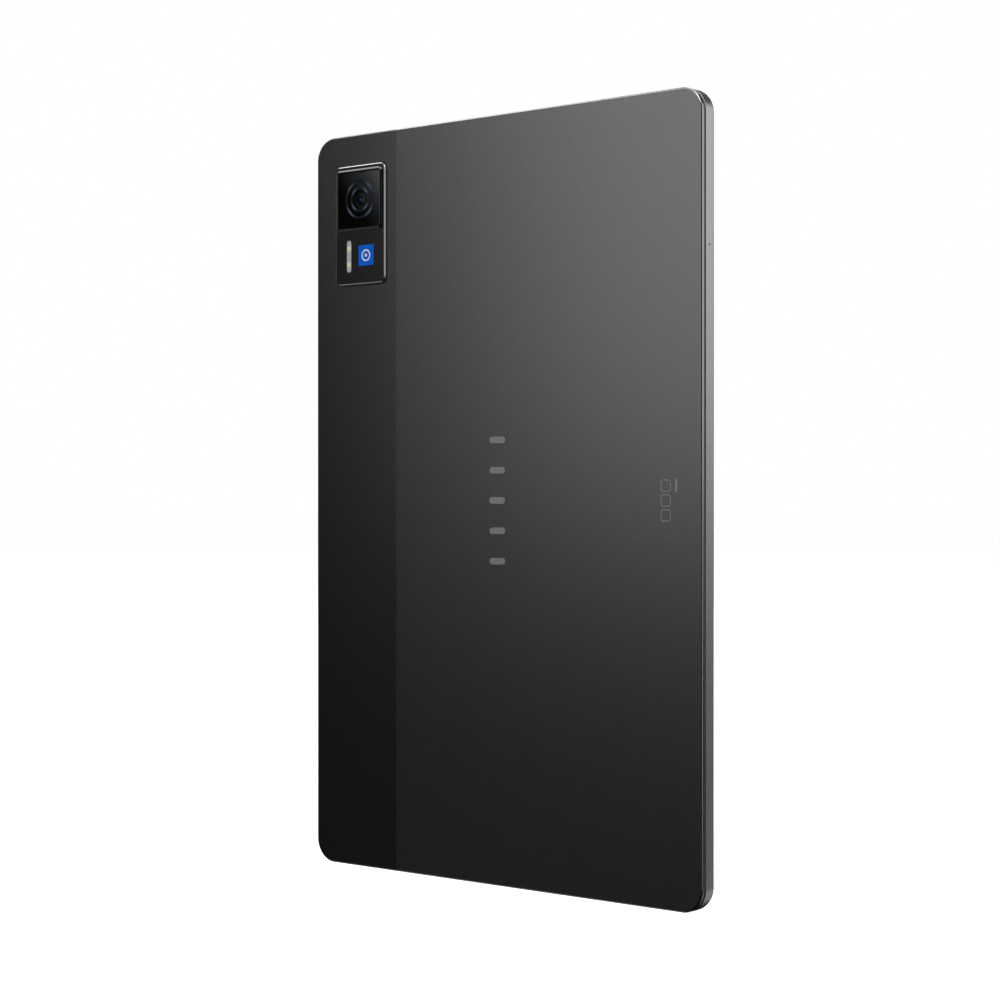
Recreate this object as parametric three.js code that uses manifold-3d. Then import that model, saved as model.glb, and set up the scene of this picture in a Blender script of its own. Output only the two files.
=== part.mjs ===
// An 11-inch slate tablet computer, standing upright on its bottom short edge.
//
// Frame, in millimetres: +Z is up the long edge, -Y is the way the screen faces, +Y is the way the
// back faces, and +X is the long edge with the cameras, the volume rocker and the card tray.
// The origin is the middle of the bottom edge, at the centre of the object's box in Y.
//
// Everything is stacked through the thickness, so places in Y are given as a depth: millimetres in
// from the flat of the back panel, towards the screen. Depths on the camera island are negative.

import * as THREE from "three";
import { mergeVertices } from "three/addons/utils/BufferGeometryUtils.js";
import Module from "manifold-3d";

const wasm = await Module();
wasm.setup();

// ---------------------------------------------------------------- driving dimensions

const WIDTH = 167.24;
const HEIGHT = 258.52;
const THICKNESS = 7.6; // back panel to cover glass
const CORNER = 8; // radius of the outline's corners
const SIDE_X = WIDTH / 2;
const MID_Z = HEIGHT / 2;

const ISLAND_RISE = 0.9; // camera island above the back panel
const LENS_PLATE_RISE = 0.8; // lens plate above the island
const BACK_Y = (THICKNESS - ISLAND_RISE - LENS_PLATE_RISE) / 2;

const FIT = 0.05; // between two pieces that rest on each other
const CORNER_STEPS = 6;
const ROUND_STEPS = 3;

// Rear shell: a metal panel and a plastic strip over the antennas, side by side.
const SHELL = { wall: 0.8, rimEnd: 1.2, inset: 0, edge: 0.6, rimWidth: 2.2 };
const STRIP_X = SIDE_X - 38.45; // where the panel meets the strip

// Middle frame: the side rail, with a seam groove behind it and a ledge for the display.
const SEAM = { end: 2.05, inset: 0.7, chamfer: 0.15 };
const WALL = 2.4; // thickness of the rail
const WALL_END = 5.8; // end of the rail's flat outside
const FRONT_ROUND = { depth: 1.3, inset: 0.9 };
const LEDGE = { from: 5.5, to: 6.7, inset: 4.6 };
const CHASSIS = { from: 5.05, to: 5.45, inset: 3.4 };
const BOARD = { from: 4.1, to: 4.88 };
const RIBBON = { from: 4.91, to: 5.02 }; // flat cables lie between the boards and the chassis

const GLASS = { from: 6.9, inset: 1.15, edge: 0.45 };
const DISPLAY = { halfWidth: 75.6, halfHeight: 120.6, split: 6.28 };

// Keys and ports share one line along the middle of the rail.
const LINE = 4;
const KEY = { thick: 2.4, proud: 0.4, gap: 0.15, corner: 1.1 };
const KEY_BACK = [LINE - KEY.thick / 2, 4.9]; // depths of what lies behind the keys
const POWER = { x: 64, length: 14 };
const VOLUME = { z: 205, length: 24, switchOffset: 8 };
const TRAY = { z: 165, head: 19.4, headThick: 1.6, reach: 25.6, from: 3.1, to: 3.8, low: -8.8, high: 5.2 };
const EJECT = { z: TRAY.z + 7.4, pivotX: 51.4, pivotZ: TRAY.z + 4, arm: 7, depths: [3.05, 3.75] };
const USB = { width: 8.94, thick: 3.26, wall: 0.3, mouth: 0, length: 7.65 };
const SPEAKER = { x: 38, width: 30, length: 15, from: 1.4, to: 4.85, slots: 5, slotPitch: 3.7 };
const MIC = { z: 209, radius: 0.3 };
const FRONT_CAMERA = { x: 78.7, half: 2.3, barrel: 1.9, gap: 0.5 }; // in the bezel, at mid height
const DISPLAY_FLEX = { x: 77.5, z: [95, 120], slack: 2 }; // x of its fold, and the room around it

// Camera island.
const ISLAND = { x: 61.65, z: 226.45, width: 23.7, length: 42, corner: 2.2, gap: 0.45, flange: 1.2 };
const LENS_PLATE = { z: 235.3, side: 21.5, glass: 20, corner: 1.4, recess: 0.55, bevel: 0.3 };
const SHROUD_RADIUS = 7.05;
const BARREL_RADIUS = 3;
const FLASH = { x: 67.05, z: 215.4, width: 2.1, length: 11.35, ledOffset: 2.83 };
const BADGE = { x: 58.8, z: 215.4, side: 7.2, thick: 0.25 };

// ---------------------------------------------------------------- materials

const paint = (color, roughness, metalness) =>
  new THREE.MeshStandardMaterial({ color, roughness, metalness });

const MATERIAL = {
  anodised: paint(0x5a5c5c, 0.45, 0.9),
  darkPlastic: paint(0x2a2b2b, 0.5, 0.0),
  rail: paint(0x7d7f7f, 0.4, 0.9),
  islandMetal: paint(0x262727, 0.35, 0.8),
  polished: paint(0x8d9090, 0.2, 1.0),
  blackGlass: paint(0x050506, 0.05, 0.0),
  clearGlass: paint(0x1a1d22, 0.02, 0.0),
  ringMetal: paint(0x46506a, 0.3, 0.9),
  blackPlastic: paint(0x0c0c0d, 0.6, 0.0),
  diffuser: paint(0xd6d4cc, 0.4, 0.0),
  ledYellow: paint(0xe6c84a, 0.5, 0.0),
  blue: paint(0x0050b0, 0.4, 0.0),
  steel: paint(0xb5b8ba, 0.35, 1.0),
  plate: paint(0x8f9496, 0.45, 0.9),
  board: paint(0x14382a, 0.55, 0.1),
  copperFlex: paint(0xb36a2a, 0.5, 0.3),
  pouch: paint(0x1d1f22, 0.35, 0.3),
  film: paint(0xe9ecee, 0.25, 0.1),
  seal: paint(0x111111, 0.9, 0.0),
  mesh: paint(0x1b1b1c, 0.7, 0.4),
};

// ---------------------------------------------------------------- solids, cuts and joins

// A geometry with shared vertices, as a manifold-3d solid.
function solid(geometry) {
  const bare = geometry.clone();
  bare.deleteAttribute("normal");
  bare.deleteAttribute("uv");
  const merged = mergeVertices(bare, 1e-4);
  return new wasm.Manifold(
    new wasm.Mesh({
      numProp: 3,
      vertProperties: merged.attributes.position.array,
      triVerts: new Uint32Array(merged.index.array),
    }),
  );
}

function geometryOf(made) {
  const mesh = made.getMesh();
  return new THREE.BufferGeometry()
    .setAttribute("position", new THREE.BufferAttribute(new Float32Array(mesh.vertProperties), 3))
    .setIndex(new THREE.BufferAttribute(new Uint32Array(mesh.triVerts), 1));
}

const cut = (geometry, ...tools) =>
  geometryOf(tools.reduce((left, tool) => left.subtract(solid(tool)), solid(geometry)));
const join = (geometry, ...others) =>
  geometryOf(others.reduce((whole, other) => whole.add(solid(other)), solid(geometry)));

// ---------------------------------------------------------------- outlines

// A rectangle with round corners, centred on (x, y).
function roundRect(width, height, radius, x = 0, y = 0) {
  const [w, h, r] = [width / 2, height / 2, Math.min(radius, width / 2, height / 2)];
  const shape = new THREE.Shape();
  shape.absarc(x + w - r, y + h - r, r, 0, Math.PI / 2);
  shape.absarc(x - w + r, y + h - r, r, Math.PI / 2, Math.PI);
  shape.absarc(x - w + r, y - h + r, r, Math.PI, 1.5 * Math.PI);
  shape.absarc(x + w - r, y - h + r, r, 1.5 * Math.PI, 2 * Math.PI);
  return shape;
}

const insetRect = (width, height, corner, x, y) => (inset) =>
  roundRect(width - 2 * inset, height - 2 * inset, Math.max(corner - inset, 0.3), x, y);
const bodyOutline = insetRect(WIDTH, HEIGHT, CORNER, 0, MID_Z);
const islandOutline = insetRect(ISLAND.width, ISLAND.length, ISLAND.corner, ISLAND.x, ISLAND.z);
const lensPlateOutline = insetRect(
  LENS_PLATE.side, LENS_PLATE.side, LENS_PLATE.corner, ISLAND.x, LENS_PLATE.z);
const flashOutline = insetRect(FLASH.width, FLASH.length, FLASH.width / 2, FLASH.x, FLASH.z);
const badgeOutline = insetRect(BADGE.side, BADGE.side, 0.3, BADGE.x, BADGE.z);

const polygon = (points) => new THREE.Shape(points.map(([x, y]) => new THREE.Vector2(x, y)));

// ---------------------------------------------------------------- prisms, turned pieces and lofts

const prism = (shape, length, steps = CORNER_STEPS) =>
  new THREE.ExtrudeGeometry(shape, { depth: length, bevelEnabled: false, curveSegments: steps });

// A shape drawn in X and Z, between two depths.
const slab = (shape, from, to, steps) =>
  prism(shape, to - from, steps).rotateX(Math.PI / 2).translate(0, -from, 0);

// A shape drawn in X and Y (minus the depth), between two heights.
const upright = (shape, [z0, z1], steps) => prism(shape, z1 - z0, steps).translate(0, 0, z0);

// A shape drawn in Y (minus the depth) and Z, between two places along X.
const SIDEWAYS = new THREE.Matrix4().makeBasis(
  new THREE.Vector3(0, 1, 0),
  new THREE.Vector3(0, 0, 1),
  new THREE.Vector3(1, 0, 0),
);
const sideways = (shape, [x0, x1], steps) =>
  prism(shape, x1 - x0, steps).applyMatrix4(SIDEWAYS).translate(x0, 0, 0);

// A plain block, by its ranges in X, depth and Z.
const block = ([x0, x1], [from, to], [z0, z1]) =>
  new THREE.BoxGeometry(x1 - x0, to - from, z1 - z0).translate(
    (x0 + x1) / 2, -(from + to) / 2, (z0 + z1) / 2);

// The range that lies `half` to each side of a middle.
const about = (middle, half) => [middle - half, middle + half];

// A round piece about the depth axis, from [radius, depth] points.
const turned = (profile, steps = 24) =>
  new THREE.LatheGeometry(
    profile.map(([radius, depth]) => new THREE.Vector2(radius, -depth)),
    steps,
  );
const disc = (radius, from, to, steps) =>
  turned([[0, to], [radius, to], [radius, from], [0, from]], steps);
const ring = (inner, outer, from, to, steps) =>
  turned([[inner, to], [outer, to], [outer, from], [inner, from], [inner, to]], steps);

// Only the corner arcs' points, so outlines of any size have the same number of them.
const cornerPoints = (shape) =>
  shape.curves.filter((curve) => curve.isEllipseCurve).flatMap((arc) => arc.getPoints(CORNER_STEPS));

// A solid whose outline changes with depth, from [depth, inset] stations.
function loft(outlineAt, stations) {
  const rings = stations.map(([, inset]) => cornerPoints(outlineAt(inset)));
  const count = rings[0].length;
  const positions = rings.flatMap((points, i) =>
    points.flatMap(({ x, y }) => [x, -stations[i][0], y]),
  );
  const faces = [];
  for (let i = 0; i + 1 < rings.length; i++) {
    for (let j = 0; j < count; j++) {
      const [a, b] = [i * count + j, i * count + ((j + 1) % count)];
      faces.push(a, b, b + count, a, b + count, a + count);
    }
  }
  const last = (rings.length - 1) * count;
  THREE.ShapeUtils.triangulateShape(rings[0], []).forEach(([a, b, c]) =>
    faces.push(a, c, b, last + a, last + b, last + c),
  );
  return new THREE.BufferGeometry()
    .setAttribute("position", new THREE.BufferAttribute(new Float32Array(positions), 3))
    .setIndex(faces);
}

// Stations of a quarter round that goes from a side face to a face at depth start + deep.
const quarterRound = (start, inset, deep, wide) =>
  Array.from({ length: ROUND_STEPS + 1 }, (_, i) => {
    const angle = ((i / ROUND_STEPS) * Math.PI) / 2;
    return [start + deep * Math.sin(angle), inset + wide * (1 - Math.cos(angle))];
  });

// The same round, from a face at depth `start` out to the side face.
const quarterRoundOut = (start, inset, size) =>
  quarterRound(0, inset, size, size)
    .map(([depth, out]) => [start + size - depth, out])
    .reverse();

// ---------------------------------------------------------------- the assembly

const tablet = new THREE.Group();
const stack = new THREE.Group(); // its Y is minus the depth
stack.position.y = BACK_Y;
tablet.add(stack);

function add(name, geometry, material, x = 0, z = 0) {
  const mesh = new THREE.Mesh(geometry, material);
  mesh.name = name;
  mesh.position.set(x, 0, z);
  stack.add(mesh);
}

const THROUGH = [-3, THICKNESS + 1]; // depths that pass every piece
const BOTTOM_WALL = [-1, WALL + 0.5];
const TOP_WALL = [HEIGHT - WALL - 0.5, HEIGHT + 1];
const NEAR_WALL = [SIDE_X - WALL - 0.5, SIDE_X + 1];
const FAR_WALL = [-SIDE_X - 1, -SIDE_X + WALL + 0.5];
const INNER_TOP = HEIGHT - WALL;
const INNER_SIDE = SIDE_X - WALL;

// ---------------------------------------------------------------- rear shell

const shell = cut(
  loft(bodyOutline, [...quarterRoundOut(0, SHELL.inset, SHELL.edge), [SHELL.rimEnd, SHELL.inset]]),
  slab(bodyOutline(SHELL.inset + SHELL.rimWidth), SHELL.wall, SHELL.rimEnd + 1),
);
const beside = (x0, x1) => block([x0, x1], THROUGH, [-1, HEIGHT + 1]);
const islandWindow = slab(islandOutline(-ISLAND.gap), -1, SHELL.wall + 1);
add("rear_cover", cut(shell, beside(STRIP_X - FIT, WIDTH)), MATERIAL.anodised);
add("antenna_cover", cut(shell, beside(-WIDTH, STRIP_X + FIT), islandWindow), MATERIAL.darkPlastic);

// ---------------------------------------------------------------- middle frame and chassis

// A key's outline in the top rail, and in the side rail, wider all round by `gap`.
const topKey = (length, x, gap = 0) =>
  roundRect(length + 2 * gap, KEY.thick + 2 * gap, KEY.corner + gap, x, -LINE);
const sideKey = (length, z, gap = 0) =>
  roundRect(KEY.thick + 2 * gap, length + 2 * gap, KEY.corner + gap, -LINE, z);

const usbOutline = (grow) =>
  roundRect(USB.width + 2 * grow, USB.thick + 2 * grow, USB.thick, 0, -LINE);

function speakerSlots(side, wall) {
  const { x, slots, slotPitch } = SPEAKER;
  return Array.from({ length: slots }, (_, i) => {
    const place = side * x + (i - (slots - 1) / 2) * slotPitch;
    return upright(roundRect(2.6, 1.2, 0.6, place, -LINE), wall, 2);
  });
}

function middleFrame() {
  const outside = loft(bodyOutline, [
    [SHELL.rimEnd + FIT, SEAM.inset],
    [SEAM.end, SEAM.inset],
    [SEAM.end, SEAM.chamfer],
    [SEAM.end + SEAM.chamfer, 0],
    ...quarterRound(WALL_END, 0, FRONT_ROUND.depth, FRONT_ROUND.inset),
  ]);
  const openings = [
    slab(bodyOutline(WALL), 0, LEDGE.from),
    slab(bodyOutline(LEDGE.inset), LEDGE.from - 1, LEDGE.to + 1),
    slab(bodyOutline(GLASS.inset - 0.1), LEDGE.to, THICKNESS),
  ];
  const keys = [
    upright(topKey(POWER.length, POWER.x, KEY.gap), TOP_WALL, 3),
    sideways(sideKey(VOLUME.length, VOLUME.z, KEY.gap), NEAR_WALL, 3),
    sideways(sideKey(TRAY.head, TRAY.z, KEY.gap), NEAR_WALL, 3),
  ];
  const ports = [
    upright(usbOutline(0.1), BOTTOM_WALL),
    block(about(0, 4.8), [LEDGE.from - 0.1, LINE + USB.thick / 2 + 0.1], [WALL, LEDGE.inset + 0.1]),
    sideways(roundRect(2 * MIC.radius, 2 * MIC.radius, MIC.radius, -LINE, MIC.z), FAR_WALL, 3),
    block(
      about(FRONT_CAMERA.x, FRONT_CAMERA.half + 0.3),
      [LEDGE.from - 0.1, LEDGE.to + 0.1],
      about(MID_Z, FRONT_CAMERA.half + FRONT_CAMERA.gap)),
  ];
  const slots = [-1, 1].flatMap((side) => [
    ...speakerSlots(side, BOTTOM_WALL),
    ...speakerSlots(side, TOP_WALL),
  ]);
  return cut(outside, ...openings, ...keys, ...ports, ...slots);
}
add("mid_frame", middleFrame(), MATERIAL.rail);

const SCREW = { head: 1.3, headThick: 0.6, shank: 0.7, hole: 0.9 };
const MAINBOARD_SCREWS = [[48, 44], [73.5, 44], [48, 222]];
const USB_BOARD_SCREWS = [[-16, 10.6], [16, 10.6]];
const SCREWS = [...MAINBOARD_SCREWS, ...USB_BOARD_SCREWS];
const screwHoles = (places) =>
  places.map(([x, z]) => disc(SCREW.hole, BOARD.from - 1, CHASSIS.to + 1, 8).translate(x, 0, z));

const USB_BAY = { half: 5, end: 8.6 }; // the room that the boards and the chassis leave for the port
function chassisPlate() {
  const { x: foldX, z: [flexLow, flexHigh], slack } = DISPLAY_FLEX;
  const { x: cameraX, half, gap } = FRONT_CAMERA;
  return cut(
    slab(bodyOutline(CHASSIS.inset), CHASSIS.from, CHASSIS.to),
    block(about(0, USB_BAY.half + 0.2), THROUGH, [0, USB_BAY.end]),
    block([foldX - 0.5, foldX + 0.6], THROUGH, [flexLow - slack, flexHigh + slack]),
    block([cameraX - half - gap, SIDE_X], THROUGH, about(MID_Z, half + gap)),
    ...screwHoles(SCREWS),
  );
}
add("chassis_plate", chassisPlate(), MATERIAL.plate);

// ---------------------------------------------------------------- display

const displayOutline = roundRect(2 * DISPLAY.halfWidth, 2 * DISPLAY.halfHeight, 1.5, 0, MID_Z);
const sealOutline = bodyOutline(GLASS.inset + 0.15);
sealOutline.holes.push(bodyOutline(LEDGE.inset - 0.2));

add("cover_glass",
  loft(bodyOutline, [
    [GLASS.from, GLASS.inset],
    ...quarterRound(THICKNESS - GLASS.edge, GLASS.inset, GLASS.edge, GLASS.edge),
  ]),
  MATERIAL.blackGlass);
add("display_seal", slab(sealOutline, LEDGE.to + 0.02, GLASS.from - 0.02), MATERIAL.seal);
add("lcd_panel", slab(displayOutline, DISPLAY.split + 0.02, GLASS.from - FIT, 2), MATERIAL.blackGlass);
add("backlight_unit", slab(displayOutline, CHASSIS.to + FIT, DISPLAY.split - 0.02, 2), MATERIAL.film);

// The display's flat cable folds round its edge and through a slot in the chassis.
function displayFlex() {
  const [start, end, foldX] = [DISPLAY.halfWidth + FIT, 68, DISPLAY_FLEX.x];
  const [outer, inner] = [6.6, 6.45];
  const insideX = foldX - (outer - inner);
  const fold = polygon([
    [start, -outer], [foldX, -outer], [foldX, -RIBBON.from], [end, -RIBBON.from],
    [end, -RIBBON.to], [insideX, -RIBBON.to], [insideX, -inner], [start, -inner],
  ]);
  return upright(fold, DISPLAY_FLEX.z);
}
add("display_flex", displayFlex(), MATERIAL.copperFlex);

add("front_camera",
  join(
    block(about(FRONT_CAMERA.x, FRONT_CAMERA.half), [4.95, 6], about(MID_Z, FRONT_CAMERA.half)),
    disc(FRONT_CAMERA.barrel, 5.9, LEDGE.to, 16).translate(FRONT_CAMERA.x, 0, MID_Z),
  ),
  MATERIAL.blackPlastic);

// ---------------------------------------------------------------- battery and boards

const cell = slab(roundRect(56.5, 134, 2), 1, CHASSIS.from - 0.1, 2);
add("battery_cell_inner", cell, MATERIAL.pouch, -48.7, 125);
add("battery_cell_outer", cell, MATERIAL.pouch, 8.8, 125);
add("battery_board", block([-19, 37], [3.8, 4.6], [192.4, 198]), MATERIAL.board);

// The mainboard's top end forks round the rear camera.
const mainboardOutline = polygon([
  [45, 40], [77.5, 40], [77.5, 238], [69, 238], [69, 228], [54.5, 228], [54.5, 238], [45, 238],
]);
add("mainboard",
  cut(slab(mainboardOutline, BOARD.from, BOARD.to), ...screwHoles(MAINBOARD_SCREWS)),
  MATERIAL.board);
const shield = (length) => slab(roundRect(28, length, 0.8), 2.4, BOARD.from - FIT, 2);
add("processor_shield", shield(22), MATERIAL.steel, 61.5, 190);
add("radio_shield", shield(44), MATERIAL.steel, 61.5, 118);

// The USB board has a bay for the port.
const usbBoardOutline = polygon([
  [-19.5, 4], [-USB_BAY.half, 4], [-USB_BAY.half, USB_BAY.end], [USB_BAY.half, USB_BAY.end],
  [USB_BAY.half, 4], [19.5, 4], [19.5, 24], [-19.5, 24],
]);
add("usb_board",
  cut(slab(usbBoardOutline, BOARD.from, BOARD.to), ...screwHoles(USB_BOARD_SCREWS)),
  MATERIAL.board);
const mainFlexOutline = polygon([[12, 15], [66, 15], [66, 46], [58, 46], [58, 22], [12, 22]]);
add("main_flex", slab(mainFlexOutline, RIBBON.from, RIBBON.to), MATERIAL.copperFlex);

const screwSeat = BOARD.from - FIT;
const screw = turned([
  [0, CHASSIS.to - 0.05], [SCREW.shank, CHASSIS.to - 0.05], [SCREW.shank, screwSeat],
  [SCREW.head, screwSeat], [SCREW.head, screwSeat - SCREW.headThick + 0.15],
  [1.1, screwSeat - SCREW.headThick], [0.55, screwSeat - SCREW.headThick],
  [0.4, screwSeat - 0.3], [0, screwSeat - 0.3],
], 12);
SCREWS.forEach(([x, z], i) => add("screw_" + (i + 1), screw, MATERIAL.steel, x, z));

// ---------------------------------------------------------------- antennas, inside the strip

const wifiOutline = polygon([
  [48, 52], [76, 52], [76, 76], [70, 76], [70, 60], [58, 60], [58, 76], [48, 76],
]);
const cellularOutline = polygon([[48, 142], [76, 142], [76, 168], [66, 168], [66, 152], [48, 152]]);
const ANTENNA = [SHELL.wall + FIT, SHELL.wall + 0.2];
add("wifi_antenna", slab(wifiOutline, ...ANTENNA), MATERIAL.copperFlex);
add("cellular_antenna", slab(cellularOutline, ...ANTENNA), MATERIAL.copperFlex);

// ---------------------------------------------------------------- USB port

const usbEnd = USB.mouth + USB.length;
add("usb_shell",
  cut(
    upright(usbOutline(0), [USB.mouth, usbEnd], 4),
    upright(usbOutline(-USB.wall), [USB.mouth - 1, usbEnd - 0.6], 4),
  ),
  MATERIAL.steel);
add("usb_tongue",
  upright(roundRect(6.7, 0.7, 0.2, 0, -LINE), [USB.mouth + 1.2, usbEnd - 0.65], 1),
  MATERIAL.blackPlastic);

// ---------------------------------------------------------------- speakers and microphone

const speaker = slab(roundRect(SPEAKER.width, SPEAKER.length, 2), SPEAKER.from, SPEAKER.to, 3);
const speakerMesh = block(about(0, 9.5), about(LINE, 1.1), about(0, 0.15));
const speakerReach = WALL + 0.6 + SPEAKER.length / 2;
const meshReach = WALL + 0.25;
for (const [side, x] of [["inner", -SPEAKER.x], ["outer", SPEAKER.x]]) {
  add("speaker_top_" + side, speaker, MATERIAL.blackPlastic, x, HEIGHT - speakerReach);
  add("speaker_bottom_" + side, speaker, MATERIAL.blackPlastic, x, speakerReach);
  add("speaker_mesh_top_" + side, speakerMesh, MATERIAL.mesh, x, HEIGHT - meshReach);
  add("speaker_mesh_bottom_" + side, speakerMesh, MATERIAL.mesh, x, meshReach);
}
add("side_microphone",
  block([-INNER_SIDE + 0.1, -INNER_SIDE + 1.1], about(LINE, 0.85), about(MIC.z, 1.8)),
  MATERIAL.steel);

// ---------------------------------------------------------------- keys

// Each key has a flange behind the rail that keeps it from falling out, and nubs on the flange
// that press the switches.
add("power_button",
  join(
    upright(topKey(POWER.length, POWER.x), [INNER_TOP - 0.5, HEIGHT + KEY.proud], 3),
    block(about(POWER.x, POWER.length / 2 + 1.2), KEY_BACK, [INNER_TOP - 0.8, INNER_TOP - 0.3]),
    block(about(POWER.x, 0.8), about(LINE, 0.8), [INNER_TOP - 1.2, INNER_TOP - 0.7]),
  ),
  MATERIAL.rail);
add("volume_rocker",
  join(
    sideways(sideKey(VOLUME.length, VOLUME.z), [INNER_SIDE - 0.4, SIDE_X + KEY.proud], 3),
    block([INNER_SIDE - 1.1, INNER_SIDE - 0.35], KEY_BACK, about(VOLUME.z, VOLUME.length / 2 + 1.2)),
    ...[-1, 1].map((side) =>
      block([INNER_SIDE - 1.4, INNER_SIDE - 1], about(LINE, 0.8),
        about(VOLUME.z + side * VOLUME.switchOffset, 0.8))),
  ),
  MATERIAL.rail);

// A switch is a low square body with a small plunger, pressed along Z under the power key and
// along X under the rocker. All three sit on one flat cable that turns the corner.
const SWITCH = { half: 1.7, body: 0.9, plunger: 0.4, behind: 2.9 };
const plungerHeight = [SWITCH.body - 0.1, SWITCH.body + SWITCH.plunger];
const powerSwitch = join(
  block(about(0, SWITCH.half), KEY_BACK, [0, SWITCH.body]),
  block(about(0, 0.6), about(LINE, 0.6), plungerHeight),
);
const volumeSwitch = join(
  block([0, SWITCH.body], KEY_BACK, about(0, SWITCH.half)),
  block(plungerHeight, about(LINE, 0.6), about(0, 0.6)),
);
const [switchX, switchZ] = [INNER_SIDE - 0.1 - SWITCH.behind, INNER_TOP - SWITCH.behind];
add("power_switch", powerSwitch, MATERIAL.steel, POWER.x, switchZ);
add("volume_switch_up", volumeSwitch, MATERIAL.steel, switchX, VOLUME.z + VOLUME.switchOffset);
add("volume_switch_down", volumeSwitch, MATERIAL.steel, switchX, VOLUME.z - VOLUME.switchOffset);

const [flexX, flexZ] = [switchX - FIT, switchZ - FIT];
const FLEX_THICK = 0.2;
const keyFlexOutline = polygon([
  [POWER.x - 6, flexZ - FLEX_THICK], [flexX - FLEX_THICK, flexZ - FLEX_THICK],
  [flexX - FLEX_THICK, VOLUME.z - 12], [flexX, VOLUME.z - 12], [flexX, flexZ], [POWER.x - 6, flexZ],
]);
add("side_key_flex", slab(keyFlexOutline, ...KEY_BACK), MATERIAL.copperFlex);

// ---------------------------------------------------------------- card tray and its ejector

const headX = SIDE_X - TRAY.headThick;
const trayX = headX - TRAY.reach; // the tray's inner end
const trayZ = [TRAY.z + TRAY.low, TRAY.z + TRAY.high];
add("card_tray",
  cut(
    join(
      sideways(sideKey(TRAY.head, TRAY.z), [headX, SIDE_X], 3),
      block([trayX, headX + 0.1], [TRAY.from, TRAY.to], trayZ),
    ),
    block([trayX + 0.7, trayX + 9.5], [0, TRAY.from + 0.55], [trayZ[0] + 0.8, trayZ[1] - 0.8]),
    block([trayX + 10.2, trayX + 25], [0, TRAY.from + 0.55], [trayZ[0] + 1.5, trayZ[1] - 1.5]),
    sideways(roundRect(0.9, 0.9, 0.45, -LINE + 0.6, EJECT.z), NEAR_WALL, 3),
  ),
  MATERIAL.rail);

// A sleeve round the tray, with a tab and a pin for the eject lever.
const atPivot = (geometry) => geometry.translate(EJECT.pivotX, 0, EJECT.pivotZ);
function cardSocket() {
  const [back, front] = [TRAY.from - 0.4, BOARD.from - FIT];
  const inside = [TRAY.from - 0.2, TRAY.to + 0.1];
  const sleeve = cut(
    block([trayX - 1, INNER_SIDE - 0.6], [back, front], [trayZ[0] - 0.5, trayZ[1] + 0.5]),
    block([trayX - 2, INNER_SIDE + 1], inside, [trayZ[0] - 0.2, trayZ[1] + 0.2]),
  );
  return join(
    sleeve,
    block([EJECT.pivotX - 1.4, trayX], [inside[1], front], about(EJECT.pivotZ, 1.4)),
    atPivot(disc(0.5, EJECT.depths[0], inside[1] + 0.05, 12)),
  );
}
add("card_socket", cardSocket(), MATERIAL.steel);

// One end of the lever meets the rod, and the other pushes the tray out.
add("eject_lever",
  cut(
    join(
      atPivot(disc(1.2, ...EJECT.depths, 16)),
      block(about(EJECT.pivotX, 0.6), EJECT.depths, [EJECT.pivotZ - EJECT.arm, EJECT.z + 0.8]),
    ),
    atPivot(disc(0.65, 0, THICKNESS, 12)),
  ),
  MATERIAL.steel);
add("eject_rod",
  block([EJECT.pivotX + 0.8, INNER_SIDE - 0.5], EJECT.depths, about(EJECT.z, 0.45)),
  MATERIAL.steel);

// ---------------------------------------------------------------- camera island and lens plate

const lensHole = (radius) => disc(radius, -3, 3).translate(ISLAND.x, 0, LENS_PLATE.z);
const islandFoot = SHELL.wall + FIT; // its flange lies under the strip
add("camera_island",
  cut(
    loft(islandOutline, [
      ...quarterRoundOut(-ISLAND_RISE, 0, 0.45),
      [islandFoot, 0],
      [islandFoot, -ISLAND.flange],
      [islandFoot + 0.4, -ISLAND.flange],
    ]),
    lensHole(SHROUD_RADIUS + 0.15),
    slab(flashOutline(-FIT), -2, 2, 4),
    slab(badgeOutline(-FIT), -2, BADGE.thick - ISLAND_RISE, 1),
  ),
  MATERIAL.islandMetal);

const plateTop = -ISLAND_RISE - LENS_PLATE_RISE;
const plateFloor = plateTop + LENS_PLATE.recess; // the glass lies on it
const glassInset = (LENS_PLATE.side - LENS_PLATE.glass) / 2;
add("lens_plate",
  cut(
    loft(lensPlateOutline, [
      [plateTop, glassInset - 0.15],
      [plateTop + LENS_PLATE.bevel, 0],
      [-ISLAND_RISE - FIT, 0],
    ]),
    slab(lensPlateOutline(glassInset), -3, plateFloor, 3),
    lensHole(SHROUD_RADIUS + 0.1),
  ),
  MATERIAL.polished);
add("camera_glass",
  slab(lensPlateOutline(glassInset + FIT), plateTop + 0.03, plateFloor - FIT, 3),
  MATERIAL.clearGlass);

// ---------------------------------------------------------------- rear camera

// Black shroud under the glass, with two bright rings on it round the lens.
const atLens = (name, geometry, material) => add(name, geometry, material, ISLAND.x, LENS_PLATE.z);
const shroudTop = -ISLAND_RISE - 0.1;
const RING_DEPTHS = [shroudTop - 0.1, shroudTop - 0.02];
atLens("lens_shroud", ring(BARREL_RADIUS + 0.2, SHROUD_RADIUS, shroudTop, 0.7), MATERIAL.blackPlastic);
atLens("lens_ring_outer", ring(6.05, 6.85, ...RING_DEPTHS, 32), MATERIAL.ringMetal);
atLens("lens_ring_inner", ring(3.6, 4.4, ...RING_DEPTHS, 24), MATERIAL.ringMetal);

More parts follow.
